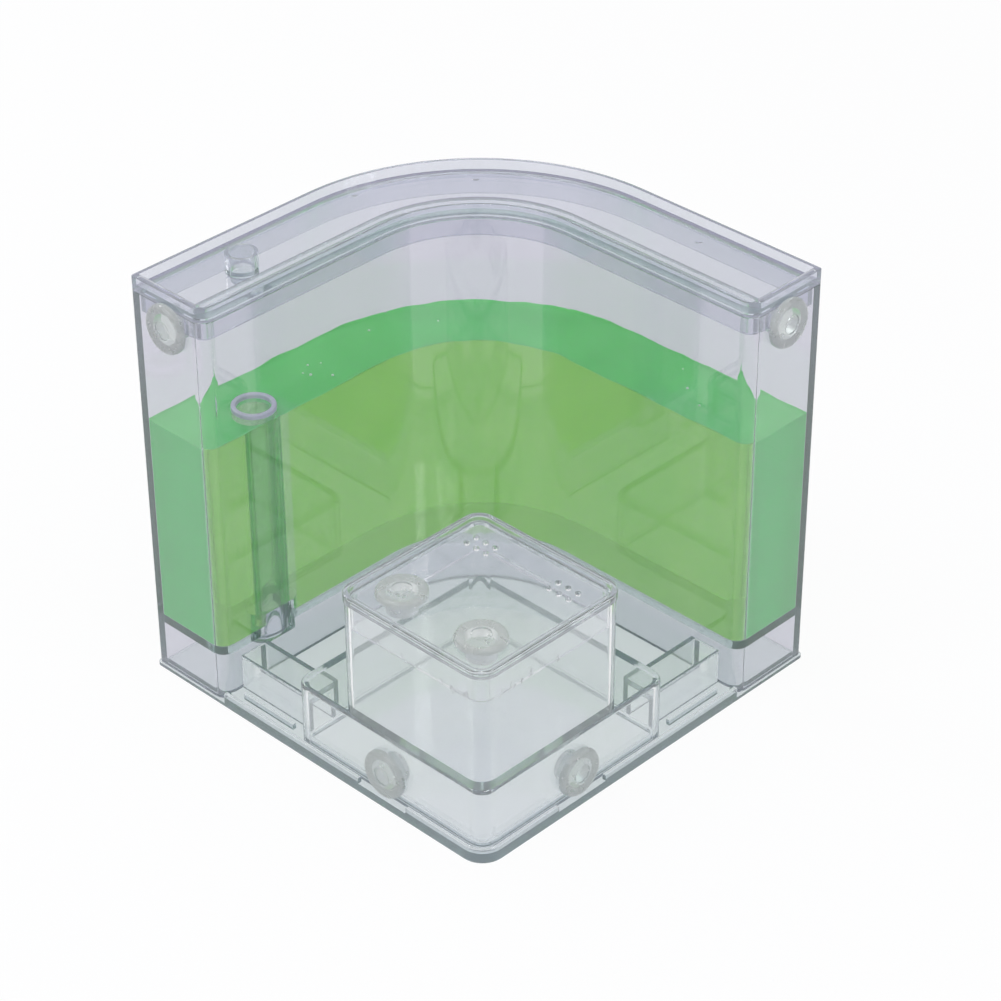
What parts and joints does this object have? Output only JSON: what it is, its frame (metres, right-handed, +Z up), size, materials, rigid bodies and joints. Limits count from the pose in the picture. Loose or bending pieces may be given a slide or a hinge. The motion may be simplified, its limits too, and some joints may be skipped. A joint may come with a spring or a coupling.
{
  "type": "ant habitat",
  "caption": "Clear ant habitat: an L-shaped gel tank with lid and climbing tube on a square base tray, with a chamber and a lidded feeding box in the open corner.",
  "frame": {"origin": "centre of the square base footprint, on its resting face", "axes": "+Z up; the left arm of the tank lies along -X with its end face looking to -Y; the right arm lies along +Y with its end face looking to +X; the open corner with the feeding tower is at +X, -Y"},
  "size_m": [0.1517, 0.1517, 0.1506],
  "materials": {
    "clear_plastic": "polished clear polystyrene",
    "nutrient_gel": "translucent wet gel",
    "silicone": "milky moulded silicone"
  },
  "bodies": {
    "base_tray": {"base_tray": "clear_plastic"},
    "gel_tank": {"gel_tank": "clear_plastic", "nest_gel": "nutrient_gel", "climbing_tube": "clear_plastic"},
    "tank_lid": {"tank_lid": "clear_plastic"},
    "port_stopper": {"port_stopper": "clear_plastic"},
    "end_plug_left": {"end_plug_left": "silicone"},
    "end_plug_right": {"end_plug_right": "silicone"},
    "lower_chamber": {"lower_chamber": "clear_plastic"},
    "chamber_plug_left": {"chamber_plug_left": "silicone"},
    "chamber_plug_right": {"chamber_plug_right": "silicone"},
    "feeding_box": {"feeding_box": "clear_plastic"},
    "feeding_box_lid": {"feeding_box_lid": "clear_plastic"},
    "box_plug_left": {"box_plug_left": "silicone"},
    "box_plug_front": {"box_plug_front": "silicone"}
  },
  "joints": [
    {"name": "tank_lift", "type": "slide", "parent": "base_tray", "child": "gel_tank", "axis": [0, 0, 1], "range_m": [0, 0.02]},
    {"name": "tank_lid_lift", "type": "slide", "parent": "gel_tank", "child": "tank_lid", "axis": [0, 0, 1], "range_m": [0, 0.015]},
    {"name": "port_stopper_lift", "type": "slide", "parent": "tank_lid", "child": "port_stopper", "axis": [0, 0, 1], "range_m": [0, 0.01]},
    {"name": "end_plug_left_pull", "type": "slide", "parent": "gel_tank", "child": "end_plug_left", "axis": [0, -1, 0], "range_m": [0, 0.012]},
    {"name": "end_plug_right_pull", "type": "slide", "parent": "gel_tank", "child": "end_plug_right", "axis": [1, 0, 0], "range_m": [0, 0.012]},
    {"name": "chamber_lift", "type": "slide", "parent": "base_tray", "child": "lower_chamber", "axis": [0, 0, 1], "range_m": [0, 0.01]},
    {"name": "chamber_plug_left_pull", "type": "slide", "parent": "lower_chamber", "child": "chamber_plug_left", "axis": [0, -1, 0], "range_m": [0, 0.012]},
    {"name": "chamber_plug_right_pull", "type": "slide", "parent": "lower_chamber", "child": "chamber_plug_right", "axis": [1, 0, 0], "range_m": [0, 0.012]},
    {"name": "feeding_box_lift", "type": "slide", "parent": "lower_chamber", "child": "feeding_box", "axis": [0, 0, 1], "range_m": [0, 0.01]},
    {"name": "feeding_box_lid_lift", "type": "slide", "parent": "feeding_box", "child": "feeding_box_lid", "axis": [0, 0, 1], "range_m": [0, 0.016]},
    {"name": "box_plug_left_pull", "type": "slide", "parent": "feeding_box_lid", "child": "box_plug_left", "axis": [0, 0, 1], "range_m": [0, 0.012]},
    {"name": "box_plug_front_pull", "type": "slide", "parent": "feeding_box_lid", "child": "box_plug_front", "axis": [0, 0, 1], "range_m": [0, 0.012]}
  ]
}
